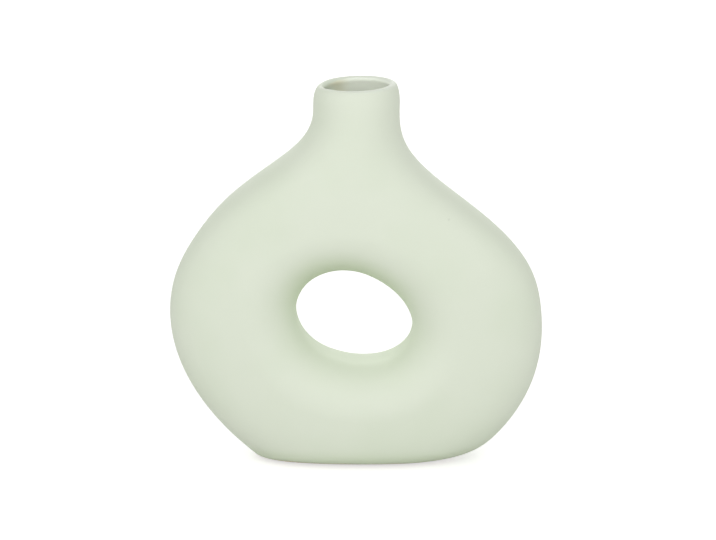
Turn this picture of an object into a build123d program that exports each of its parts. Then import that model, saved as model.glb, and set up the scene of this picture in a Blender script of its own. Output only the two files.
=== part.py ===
# Donut vase: a flat ceramic ring vessel with an off-centre egg-shaped hole and a round neck.
#
# The body is cast as two half shells, front and back, which are luted together with slip on the
# plane between them. Four pads keep the bare foot off the table.
#
# Millimetres. +Z is up, +X is to the right seen from the front, and the front faces -Y. The origin
# is on the table, under the middle of the width, on the plane between the two halves.

import os
from math import hypot

from build123d import *

# Overall form, with heights measured from the foot
height = 205.6
width = 200.0
belly_depth = 64.0  # through the middle of the ring, before the hole is cut
belly_share = 0.388  # of the height, where the ring is widest

# Foot that the body stands on
foot_share = 0.5175  # of the width
foot_depth_share = 0.70  # of the ring's depth
foot_shift = -2.25  # the foot's middle lies this far right of the body's, so here it is left
foot_roll = 8.0  # radius of the edge round the foot

# Neck and mouth
neck_diameter = 46.1
neck_length = 17.0
neck_shift = 0.25  # the neck's middle lies this far right of the body's
rim_share = 0.872  # of the neck's diameter
rim_shift = 1.1
rim_tilt = 1.7  # degrees, left side down

# Egg-shaped hole through the ring, on its own tilted axes
hole_length_share = 0.3225  # of the width
hole_height_share = 0.2465  # of the height
hole_x = -4.2
hole_rise_share = 0.3885  # of the height, up to the middle of the hole
hole_tilt = -22.4  # degrees, right end down
lip_share = 0.375  # of the ring's depth: the roll from the hole out to the front and back

# Walls
wall = 4.5
floor_thickness = 6.0
floor_roll = 6.0  # radius inside, between floor and wall
seam_thickness = 0.8

# Pads under the foot
pad_diameter = 11.0
pad_thickness = 1.6
pad_edge = 0.5
pad_span = 54.0  # between pad middles, left to right
pad_gauge = 17.0  # between pad middles, front to back

overrun = 10.0  # how far a cutting shape runs past what it cuts

# The outline is set by stations, one horizontal section each. Every row gives the height, then the
# reach to the left, the reach to the right and the depth. In the lower rows the height is a share
# of the belly's, and the rest says how far the foot has grown into the belly.
lower_shares = (
    (0.00, 0.00, 0.00, 0.00),
    (0.15, 0.28, 0.535, 0.71),
    (0.40, 0.645, 0.825, 0.93),
    (0.70, 0.91, 0.985, 0.99),
    (1.00, 1.00, 1.00, 1.00),
)
# In the upper rows the height is a share of the way from the belly to the neck, and the rest says
# how much of the belly's growth over the neck is left.
upper_shares = (
    (0.20, 0.955, 0.935, 0.98),
    (0.40, 0.805, 0.73, 0.88),
    (0.60, 0.56, 0.395, 0.70),
    (0.75, 0.285, 0.15, 0.44),
    (0.88, 0.075, 0.029, 0.16),
    (1.00, 0.00, 0.00, 0.00),
)

# The four quarters of the egg take these shares of its length and height
egg_right_share = 0.56
egg_left_share = 1 - egg_right_share
egg_top_share = 0.50
egg_bottom_share = 1 - egg_top_share

# The rim is rolled over both ways, by radii that are shares of the wall
rim_outer_share = 0.48
rim_inner_share = 0.42

# A cubic curve follows a quarter circle when its handles are this share of the radius
round_handle_share = 0.5523

# Sizes that follow from the ones above
belly_height = belly_share * height
foot_length = foot_share * width
foot_depth = foot_depth_share * belly_depth
rim_diameter = rim_share * neck_diameter
hole_length = hole_length_share * width
hole_height = hole_height_share * height
hole_z = hole_rise_share * height
lip_radius = lip_share * belly_depth

foot_z = pad_thickness
rim_z = foot_z + height
neck_z = rim_z - neck_length
belly_z = foot_z + belly_height
rim_plane = Plane.XY.offset(rim_z).rotated((0, -rim_tilt, 0))


def skin_stations():
    """The outside as (height, left reach, right reach, half depth) rows, from the foot up."""
    foot_left = foot_length / 2 - foot_shift
    foot_right = foot_length / 2 + foot_shift
    neck_left = neck_diameter / 2 - neck_shift
    neck_right = neck_diameter / 2 + neck_shift
    rows = []
    for rise, left, right, deep in lower_shares:
        rows.append(
            (
                foot_z + rise * belly_height,
                foot_left + left * (width / 2 - foot_left),
                foot_right + right * (width / 2 - foot_right),
                (foot_depth + deep * (belly_depth - foot_depth)) / 2,
            )
        )
    for rise, left, right, deep in upper_shares:
        rows.append(
            (
                belly_z + rise * (neck_z - belly_z),
                neck_left + left * (width / 2 - neck_left),
                neck_right + right * (width / 2 - neck_right),
                (neck_diameter + deep * (belly_depth - neck_diameter)) / 2,
            )
        )
    rim_radius = rim_diameter / 2
    rows.append((rim_z, rim_radius - rim_shift, rim_radius + rim_shift, rim_radius))
    return rows


def inset_stations(inset, bottom_z):
    """The stations moved in by inset, square to the skin, and starting from a new bottom."""
    rows = skin_stations()
    moved = []
    for i, row in enumerate(rows):
        below = rows[max(i - 1, 0)]
        above = rows[min(i + 1, len(rows) - 1)]
        rise = above[0] - below[0]
        leans = [(above[side] - below[side]) / rise for side in (1, 2, 3)]
        reaches = [row[side] - inset * hypot(1, lean) for side, lean in zip((1, 2, 3), leans)]
        moved.append([row[0], *reaches])
    # The bottom section slides up the wall to its new height
    climb = (bottom_z - moved[0][0]) / (moved[1][0] - moved[0][0])
    moved[0] = [low + climb * (high - low) for low, high in zip(moved[0], moved[1])]
    return moved


def front_form(inset, bottom_z, bottom_roll, back_face):
    """The vase in front of a plane, as a solid inset from its outside: the skin, or the space in it."""
    with BuildPart() as form:
        for z, left, right, half_depth in inset_stations(inset, bottom_z):
            middle = (right - left) / 2
            half_width = (right + left) / 2
            # The sides are as round as a circle of the section's depth
            front_handle = half_width - (1 - round_handle_share) * half_depth
            side_handle = round_handle_share * half_depth
            with BuildSketch(rim_plane if z == rim_z else Plane.XY.offset(z)):
                with BuildLine():
                    for way_x, way_y in ((1, 1), (1, -1), (-1, -1), (-1, 1)):
                        side = middle + way_x * half_width
                        Bezier(
                            (middle, way_y * half_depth),
                            (middle + way_x * front_handle, way_y * half_depth),
                            (side, way_y * side_handle),
                            (side, 0),
                        )
                make_face()
        loft()
        split(bisect_by=back_face, keep=Keep.TOP)
        foot_edges = form.edges().group_by(Axis.Z)[0]
        fillet(foot_edges.filter_by(GeomType.LINE, reverse=True), bottom_roll)
        with BuildSketch(Plane.XZ.offset(-overrun)):
            with BuildLine(Location((hole_x, foot_z + hole_z), hole_tilt)):
                right = hole_length * egg_right_share + inset
                left = hole_length * egg_left_share + inset
                top = hole_height * egg_top_share + inset
                bottom = hole_height * egg_bottom_share + inset
                quarters = ((right, top), (left, top), (left, bottom), (right, bottom))
                for i, (along, across) in enumerate(quarters):
                    EllipticalCenterArc((0, 0), along, across, start_angle=i * 90, arc_size=90)
            make_face()
        extrude(amount=belly_depth, mode=Mode.SUBTRACT)
        hole_edges = form.edges(Select.LAST).filter_by(GeomType.LINE, reverse=True).sort_by(Axis.Y)
        fillet(hole_edges[: len(quarters)], lip_radius - inset)
    return form.part


# The halves meet the slip on two planes, and the space inside runs on from one to the other
front_plane = Plane.XZ.offset(seam_thickness / 2)
back_plane = Plane.XZ.offset(-seam_thickness / 2)
skin = front_form(0, foot_z, foot_roll, front_plane)
space = front_form(wall, foot_z + floor_thickness, floor_roll, back_plane)

with BuildPart() as front_half:
    add(skin)
    add(space, mode=Mode.SUBTRACT)
    extrude(space.faces().sort_by(Axis.Z)[-1], amount=overrun, mode=Mode.SUBTRACT)
    rim_edges = front_half.faces().sort_by(Axis.Z)[-1].edges().filter_by(GeomType.LINE, reverse=True)
    inner_rim, outer_rim = rim_edges.sort_by(SortBy.LENGTH)
    fillet(outer_rim, wall * rim_outer_share)
    fillet(inner_rim, wall * rim_inner_share)

with BuildPart() as back_half:
    mirror(front_half.part, about=Plane.XZ)

# The slip fills the gap between the halves, once round the outside and once round the hole
hole_joint, outer_joint = front_half.faces().filter_by(front_plane).sort_by(SortBy.AREA)

with BuildPart() as outer_seam:
    extrude(outer_joint, amount=seam_thickness)

with BuildPart() as hole_seam:
    extrude(hole_joint, amount=seam_thickness)

pieces = {
    "front_half": front_half.part,
    "back_half": back_half.part,
    "outer_seam": outer_seam.part,
    "hole_seam": hole_seam.part,
}

for end, way_y in (("front", -1), ("back", 1)):
    for side, way_x in (("left", -1), ("right", 1)):
        with BuildPart() as pad:
            with Locations((foot_shift + way_x * pad_span / 2, way_y * pad_gauge / 2, 0)):
                Cylinder(
                    pad_diameter / 2,
                    pad_thickness,
                    align=(Align.CENTER, Align.CENTER, Align.MIN),
                )
            fillet(pad.edges().group_by(Axis.Z)[0], pad_edge)
        pieces[f"foot_pad_{end}_{side}"] = pad.part

os.makedirs("parts", exist_ok=True)
for name, piece in pieces.items():
    piece.label = name
    export_step(piece, f"parts/{name}.step")
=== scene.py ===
import math
import bpy
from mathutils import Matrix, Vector


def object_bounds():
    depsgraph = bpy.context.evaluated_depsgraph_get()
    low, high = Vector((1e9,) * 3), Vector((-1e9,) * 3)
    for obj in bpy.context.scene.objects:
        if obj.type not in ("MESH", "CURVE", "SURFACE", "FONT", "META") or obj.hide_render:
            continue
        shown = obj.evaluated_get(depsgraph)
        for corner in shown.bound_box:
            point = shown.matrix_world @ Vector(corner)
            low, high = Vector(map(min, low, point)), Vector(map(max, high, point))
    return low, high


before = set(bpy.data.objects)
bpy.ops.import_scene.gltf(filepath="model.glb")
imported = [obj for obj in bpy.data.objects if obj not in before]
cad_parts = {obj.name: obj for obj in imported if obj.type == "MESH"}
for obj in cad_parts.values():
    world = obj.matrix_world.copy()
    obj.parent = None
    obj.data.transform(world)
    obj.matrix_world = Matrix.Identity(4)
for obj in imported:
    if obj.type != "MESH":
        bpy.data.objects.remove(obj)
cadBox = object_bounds()
scene = bpy.context.scene
scene.view_settings.view_transform = "Standard"
mm = 0.001
noiseLow, noiseHigh = 0.3, 0.7   # most of a noise's values lie between these
print("frame loaded:", ", ".join(sorted(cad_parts)))


def linear(hexColour):
    channels = [int(hexColour[i:i + 2], 16) / 255 for i in (1, 3, 5)]
    return [c / 12.92 if c <= 0.04045 else ((c + 0.055) / 1.055) ** 2.4 for c in channels] + [1.0]


def addNode(tree, kind, settings, inputs):
    node = tree.nodes.new(kind)
    for name, value in settings.items():
        setattr(node, name, value)
    for name, value in inputs.items():
        if isinstance(value, bpy.types.NodeSocket):
            tree.links.new(value, node.inputs[name])
        else:
            node.inputs[name].default_value = value
    return node


# Cast stoneware under a sprayed matt glaze: a soft, chalky skin with no sharp highlight, whose
# tint drifts a little with the thickness of the coat. A deeper tint in the throat of the hole and
# above the foot is painted shade, partly a coat gathered there. The coat thins on the rim and stops
# at the foot, where the bare clay is warmer and sandy. Inside the mouth the glaze was poured,
# and is paler and smoother.
glaze = {
    "colour": "#E2E9D8",
    "thickColour": "#DDE6D2",
    # painted shade for the hole's throat and above the foot, partly a gathered coat
    "pooledShadeColour": "#CDDBBA",
    "thinColour": "#E6EBDF",
    "clayColour": "#DCCFB8",
    "innerColour": "#F9FEF2",
    "innerTanColour": "#EFEBCF",
    "pinholeColour": "#8C9182",
    "driftSize": 48 * mm,       # how far the spray's thick and thin places lie apart
    "grainSize": 1.3 * mm,      # the real grain is about 0.3 mm, drawn coarser so that it shows
    "grainDepth": 0.02 * mm,
    "waveSize": 26 * mm,        # the soft unevenness left by sponging the casting
    "waveDepth": 0.10 * mm,
    "bumpStrength": 0.6,
    "thickFrom": 0.45,          # the tint deepens between these values of the drift
    "thickFull": 0.75,
    "thickStrength": 0.8,       # how far each of these tints goes, of its full colour
    "throatShadeStrength": 0.85,
    "footShadeStrength": 0.5,
    "thinStrength": 0.7,
    "pinholeStrength": 0.6,
    "speckStrength": 0.16,
    "tanStrength": 0.9,
    "pinholeSpacing": 34 * mm,
    "pinholeRadius": 0.45 * mm,
    "pinholeCore": 0.5,         # share of the radius that is fully dark
    "speckPlace": (49.2 * mm, 0.0, 138.6 * mm),   # the one faint speck, on the right shoulder
    "speckRadius": 0.8 * mm,
    "speckCore": 0.3,
    "roughness": 0.62,
    "roughSpread": 0.06,
    "mouthSmoother": -0.25,
    "clayRougher": 0.25,
    "ior": 1.5,
    "specular": 0.25,
    "throatShadeCentre": (-4.2 * mm, 0.0, 92 * mm),      # painted shade, centred above the hole's middle so that it is strongest toward the upper lip
    "throatShadeTilt": 22.4,           # degrees, right end down, as the hole
    "throatShadeSize": (32 * mm, 1.0, 25 * mm),
    "throatShadeFull": 0.55,           # shares of that size: full tint within this
    "throatShadeEnd": 1.3,             # and none beyond this
    "footShadeHeight": 13 * mm,      # the painted shade above the foot ends here
    "rimTop": cadBox[1][2],
    "rimBand": 2.2 * mm,
    "mouthRadius": 16.8 * mm,   # where the roll of the rim ends
    "mouthFlare": 0.20,         # how the inside widens on the way down
    "mouthBlend": 0.4 * mm,
    "mouthCentre": (1.1 * mm, 0.0, 0.0),
    "neckBottom": 165 * mm,     # the poured coat is drawn down to here
    "tanEdge": -3.0 * mm,       # the clay shows through to the left of this
    "tanBlend": 4 * mm,
    "runSize": 12 * mm,         # how unevenly the poured glaze ran
    "runReach": 8 * mm,
    "footHeight": 2.6 * mm,     # the glaze is wiped off below this
    "footWander": 2.4 * mm,
    "footBlend": 0.4 * mm,
}

print("ceramic material")
ceramic = bpy.data.materials.new("matt_glazed_stoneware")
ceramic.use_nodes = True
tree = ceramic.node_tree
tree.nodes.clear()
place = addNode(tree, "ShaderNodeTexCoord", {}, {}).outputs["Object"]
across, along, height = addNode(tree, "ShaderNodeSeparateXYZ", {}, {"Vector": place}).outputs

drift = addNode(tree, "ShaderNodeTexNoise", {},
                {"Vector": place, "Scale": 1 / glaze["driftSize"], "Detail": 2.0}).outputs[0]
grain = addNode(tree, "ShaderNodeTexNoise", {},
                {"Vector": place, "Scale": 1 / glaze["grainSize"], "Detail": 3.0}).outputs[0]
wave = addNode(tree, "ShaderNodeTexNoise", {},
               {"Vector": place, "Scale": 1 / glaze["waveSize"], "Detail": 1.0}).outputs[0]
run = addNode(tree, "ShaderNodeTexNoise", {},
              {"Vector": place, "Scale": 1 / glaze["runSize"], "Detail": 2.0}).outputs[0]

# Thick and thin places of the coat
thick = addNode(tree, "ShaderNodeMapRange", {},
                {"Value": drift, 1: glaze["thickFrom"], 2: glaze["thickFull"],
                 3: 0.0, 4: glaze["thickStrength"]})
coat = addNode(tree, "ShaderNodeMix", {"data_type": "RGBA"},
               {0: thick.outputs[0], 6: linear(glaze["colour"]), 7: linear(glaze["thickColour"])})

# Painted shade, partly a coat gathered there: a deeper tint in the throat of the hole and above the foot
throat = addNode(tree, "ShaderNodeMapping", {"vector_type": "TEXTURE"},
                 {"Vector": place, "Location": glaze["throatShadeCentre"], "Scale": glaze["throatShadeSize"],
                  "Rotation": (0.0, math.radians(glaze["throatShadeTilt"]), 0.0)})
throatFlat = addNode(tree, "ShaderNodeVectorMath", {"operation": "MULTIPLY"},
                     {0: throat.outputs[0], 1: (1.0, 0.0, 1.0)})
fromThroat = addNode(tree, "ShaderNodeVectorMath", {"operation": "LENGTH"}, {0: throatFlat.outputs[0]})
throatShadeMask = addNode(tree, "ShaderNodeMapRange", {"interpolation_type": "SMOOTHSTEP"},
                   {"Value": fromThroat.outputs["Value"], 1: glaze["throatShadeEnd"], 2: glaze["throatShadeFull"],
                    3: 0.0, 4: glaze["throatShadeStrength"]})
footShadeMask = addNode(tree, "ShaderNodeMapRange", {"interpolation_type": "SMOOTHSTEP"},
                   {"Value": height, 1: glaze["footShadeHeight"], 2: glaze["footHeight"],
                    3: 0.0, 4: glaze["footShadeStrength"]})
pooledShade = addNode(tree, "ShaderNodeMath", {"operation": "MAXIMUM"},
                 {0: throatShadeMask.outputs[0], 1: footShadeMask.outputs[0]})
coatShaded = addNode(tree, "ShaderNodeMix", {"data_type": "RGBA"},
                     {0: pooledShade.outputs[0], 6: coat.outputs[2], 7: linear(glaze["pooledShadeColour"])})

# Thinner on the crest of the rim
rimThin = addNode(tree, "ShaderNodeMapRange", {"interpolation_type": "SMOOTHSTEP"},
                  {"Value": height, 1: glaze["rimTop"] - glaze["rimBand"], 2: glaze["rimTop"],
                   3: 0.0, 4: glaze["thinStrength"]})
coatRim = addNode(tree, "ShaderNodeMix", {"data_type": "RGBA"},
                  {0: rimThin.outputs[0], 6: coatShaded.outputs[2], 7: linear(glaze["thinColour"])})

# A few pinholes, and the one faint speck on the front
cells = addNode(tree, "ShaderNodeTexVoronoi", {}, {"Vector": place, "Scale": 1 / glaze["pinholeSpacing"]})
pinholeShare = glaze["pinholeRadius"] / glaze["pinholeSpacing"]
pinhole = addNode(tree, "ShaderNodeMapRange", {},
                  {"Value": cells.outputs["Distance"], 1: pinholeShare,
                   2: glaze["pinholeCore"] * pinholeShare, 3: 0.0, 4: glaze["pinholeStrength"]})
frontFlat = addNode(tree, "ShaderNodeVectorMath", {"operation": "MULTIPLY"}, {0: place, 1: (1.0, 0.0, 1.0)})
fromSpeck = addNode(tree, "ShaderNodeVectorMath", {"operation": "DISTANCE"},
                    {0: frontFlat.outputs[0], 1: glaze["speckPlace"]})
speck = addNode(tree, "ShaderNodeMapRange", {},
                {"Value": fromSpeck.outputs["Value"], 1: glaze["speckRadius"],
                 2: glaze["speckCore"] * glaze["speckRadius"], 3: 0.0, 4: glaze["speckStrength"]})
onFront = addNode(tree, "ShaderNodeMath", {"operation": "LESS_THAN"}, {0: along, 1: 0.0})
speckFront = addNode(tree, "ShaderNodeMath", {"operation": "MULTIPLY"},
                     {0: speck.outputs[0], 1: onFront.outputs[0]})
dots = addNode(tree, "ShaderNodeMath", {"operation": "MAXIMUM"},
               {0: pinhole.outputs[0], 1: speckFront.outputs[0]})
coatDots = addNode(tree, "ShaderNodeMix", {"data_type": "RGBA"},
                   {0: dots.outputs[0], 6: coatRim.outputs[2], 7: linear(glaze["pinholeColour"])})

# Inside the mouth the glaze was poured, ran thin on one side and lets the clay through there
flat = addNode(tree, "ShaderNodeVectorMath", {"operation": "MULTIPLY"}, {0: place, 1: (1.0, 1.0, 0.0)})
fromAxis = addNode(tree, "ShaderNodeVectorMath", {"operation": "DISTANCE"},
                   {0: flat.outputs[0], 1: glaze["mouthCentre"]})
flare = addNode(tree, "ShaderNodeMath", {"operation": "MULTIPLY_ADD"},
                {0: height, 1: glaze["mouthFlare"], 2: fromAxis.outputs["Value"]})
mouthEdge = glaze["mouthRadius"] + glaze["mouthFlare"] * glaze["rimTop"]
within = addNode(tree, "ShaderNodeMapRange", {},
                 {"Value": flare.outputs[0], 1: mouthEdge + glaze["mouthBlend"],
                  2: mouthEdge - glaze["mouthBlend"], 3: 0.0, 4: 1.0})
above = addNode(tree, "ShaderNodeMath", {"operation": "GREATER_THAN"}, {0: height, 1: glaze["neckBottom"]})
inMouth = addNode(tree, "ShaderNodeMath", {"operation": "MULTIPLY"},
                  {0: within.outputs[0], 1: above.outputs[0]})
runEdge = addNode(tree, "ShaderNodeMath", {"operation": "MULTIPLY_ADD"},
                  {0: run, 1: glaze["runReach"], 2: across})
runMask = addNode(tree, "ShaderNodeMapRange", {"interpolation_type": "SMOOTHSTEP"},
                  {"Value": runEdge.outputs[0], 1: glaze["tanEdge"] + glaze["tanBlend"],
                   2: glaze["tanEdge"] - glaze["tanBlend"], 3: 0.0, 4: glaze["tanStrength"]})
innerCoat = addNode(tree, "ShaderNodeMix", {"data_type": "RGBA"},
                    {0: runMask.outputs[0], 6: linear(glaze["innerColour"]),
                     7: linear(glaze["innerTanColour"])})
coatInside = addNode(tree, "ShaderNodeMix", {"data_type": "RGBA"},
                     {0: inMouth.outputs[0], 6: coatDots.outputs[2], 7: innerCoat.outputs[2]})

# Bare clay on the foot, with a glaze line that wanders by about a millimetre
wander = addNode(tree, "ShaderNodeMath", {"operation": "MULTIPLY_ADD"},
                 {0: wave, 1: glaze["footWander"], 2: height})
footEdge = glaze["footHeight"] + glaze["footWander"] / 2
bare = addNode(tree, "ShaderNodeMapRange", {},
               {"Value": wander.outputs[0], 1: footEdge + glaze["footBlend"], 2: footEdge, 3: 0.0, 4: 1.0})
skinColour = addNode(tree, "ShaderNodeMix", {"data_type": "RGBA"},
                     {0: bare.outputs[0], 6: coatInside.outputs[2], 7: linear(glaze["clayColour"])})

# The poured glaze inside is smoother, the bare clay rougher
skinRough = addNode(tree, "ShaderNodeMapRange", {},
                    {"Value": grain, 1: noiseLow, 2: noiseHigh, 3: glaze["roughness"] - glaze["roughSpread"],
                     4: glaze["roughness"] + glaze["roughSpread"]})
mouthRough = addNode(tree, "ShaderNodeMath", {"operation": "MULTIPLY_ADD"},
                     {0: inMouth.outputs[0], 1: glaze["mouthSmoother"], 2: skinRough.outputs[0]})
footRough = addNode(tree, "ShaderNodeMath", {"operation": "MULTIPLY_ADD", "use_clamp": True},
                    {0: bare.outputs[0], 1: glaze["clayRougher"], 2: mouthRough.outputs[0]})

grainBump = addNode(tree, "ShaderNodeBump", {},
                    {"Height": grain, "Strength": glaze["bumpStrength"], "Distance": glaze["grainDepth"]})
waveBump = addNode(tree, "ShaderNodeBump", {},
                   {"Height": wave, "Strength": glaze["bumpStrength"], "Distance": glaze["waveDepth"],
                    "Normal": grainBump.outputs[0]})
skin = addNode(tree, "ShaderNodeBsdfPrincipled", {},
               {"Base Color": skinColour.outputs[2], "Roughness": footRough.outputs[0], "IOR": glaze["ior"],
                "Specular IOR Level": glaze["specular"], "Normal": waveBump.outputs[0]})
addNode(tree, "ShaderNodeOutputMaterial", {}, {"Surface": skin.outputs[0]})

# Moulded silicone: a dull, faintly waxy grey with dust in its fine texture
pad = {
    "colour": "#C6C7C2",
    "dustColour": "#B3B2AB",
    "grainSize": 0.9 * mm,      # finer on a real pad, drawn coarser so that it shows
    "grainDepth": 0.05 * mm,
    "bumpStrength": 0.5,
    "roughness": 0.5,
    "roughSpread": 0.09,
    "ior": 1.41,
}

print("pad material")
silicone = bpy.data.materials.new("moulded_silicone")
silicone.use_nodes = True
tree = silicone.node_tree
tree.nodes.clear()
place = addNode(tree, "ShaderNodeTexCoord", {}, {}).outputs["Object"]
grain = addNode(tree, "ShaderNodeTexNoise", {},
                {"Vector": place, "Scale": 1 / pad["grainSize"], "Detail": 3.0}).outputs[0]
tint = addNode(tree, "ShaderNodeMix", {"data_type": "RGBA"},
               {0: grain, 6: linear(pad["colour"]), 7: linear(pad["dustColour"])})
rough = addNode(tree, "ShaderNodeMapRange", {},
                {"Value": grain, 1: noiseLow, 2: noiseHigh, 3: pad["roughness"] - pad["roughSpread"],
                 4: pad["roughness"] + pad["roughSpread"]})
bump = addNode(tree, "ShaderNodeBump", {},
               {"Height": grain, "Strength": pad["bumpStrength"], "Distance": pad["grainDepth"]})
skin = addNode(tree, "ShaderNodeBsdfPrincipled", {},
               {"Base Color": tint.outputs[2], "Roughness": rough.outputs[0], "IOR": pad["ior"],
                "Normal": bump.outputs[0]})
addNode(tree, "ShaderNodeOutputMaterial", {}, {"Surface": skin.outputs[0]})

for name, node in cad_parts.items():
    finish = silicone if name.startswith("foot_pad") else ceramic
    node.data.materials.clear()
    node.data.materials.append(finish)

studio = {
    "floorColour": "#D4D4D2",
    "floorSize": 12.0,          # metres
    "floorLift": 0.60,          # added where the floor is looked at, so it reads as white paper
    "skyLight": 0.54,           # what the white background gives the vase
    "boxSize": 1.6,             # metres
    "boxes": {                  # where each stands, in metres, and its power in watts
        "box_left": (-1.8, -1.8, 0.55, 16.7),
        "box_right": (1.8, -1.8, 0.55, 15.0),
        "box_high": (0.0, -2.2, 1.6, 13.3),
        "box_back": (0.0, 2.4, 1.0, 24.0),
    },
    "aim": (1.2 * mm, 0.0, 104.7 * mm),
    "distance": 1.8,            # metres from the aim to the camera
    "elevation": 16.0,          # degrees above the table
    "lens": 168.6,
}

print("studio")


# 1 where the camera, a reflection or glass looks at the background, 0 for the light that it gives
def lookedAt(tree):
    rays = addNode(tree, "ShaderNodeLightPath", {}, {}).outputs
    direct = addNode(tree, "ShaderNodeMath", {"operation": "MAXIMUM"},
                     {0: rays["Is Camera Ray"], 1: rays["Is Glossy Ray"]})
    return addNode(tree, "ShaderNodeMath", {"operation": "MAXIMUM"},
                   {0: direct.outputs[0], 1: rays["Is Transmission Ray"]}).outputs[0]


# White to the camera and in reflections, and a plain pale sheet for the light that it throws back
paper = bpy.data.materials.new("matt_white_paper")
paper.use_nodes = True
tree = paper.node_tree
tree.nodes.clear()
lift = addNode(tree, "ShaderNodeMath", {"operation": "MULTIPLY"}, {0: lookedAt(tree), 1: studio["floorLift"]})
sheet = addNode(tree, "ShaderNodeBsdfDiffuse", {}, {"Color": linear(studio["floorColour"])})
glow = addNode(tree, "ShaderNodeEmission", {}, {"Color": (1, 1, 1, 1), "Strength": lift.outputs[0]})
both = addNode(tree, "ShaderNodeAddShader", {}, {0: sheet.outputs[0], 1: glow.outputs[0]})
addNode(tree, "ShaderNodeOutputMaterial", {}, {"Surface": both.outputs[0]})

bpy.ops.mesh.primitive_plane_add(size=studio["floorSize"], location=(0, 0, 0))
floor = bpy.context.object
floor.name = "floor"
floor.data.materials.append(paper)

world = bpy.data.worlds.new("studio")
scene.world = world
world.use_nodes = True
tree = world.node_tree
tree.nodes.clear()
strength = addNode(tree, "ShaderNodeMapRange", {}, {"Value": lookedAt(tree), 3: studio["skyLight"], 4: 1.0})
sky = addNode(tree, "ShaderNodeBackground", {}, {"Color": (1, 1, 1, 1), "Strength": strength.outputs[0]})
addNode(tree, "ShaderNodeOutputWorld", {}, {"Surface": sky.outputs[0]})

aim = Vector(studio["aim"])
for name, (x, y, z, power) in studio["boxes"].items():
    softbox = bpy.data.objects.new(name, bpy.data.lights.new(name, "AREA"))
    softbox.data.energy = power
    softbox.data.size = studio["boxSize"]
    softbox.location = (x, y, z)
    softbox.rotation_euler = (aim - softbox.location).to_track_quat("-Z", "Y").to_euler()
    scene.collection.objects.link(softbox)

camera = bpy.data.objects.new("camera", bpy.data.cameras.new("camera"))
lean = math.radians(studio["elevation"])
camera.location = aim + studio["distance"] * Vector((0, -math.cos(lean), math.sin(lean)))
camera.rotation_euler = (aim - camera.location).to_track_quat("-Z", "Y").to_euler()
camera.data.sensor_fit = "HORIZONTAL"
camera.data.lens = studio["lens"]
scene.collection.objects.link(camera)
scene.camera = camera
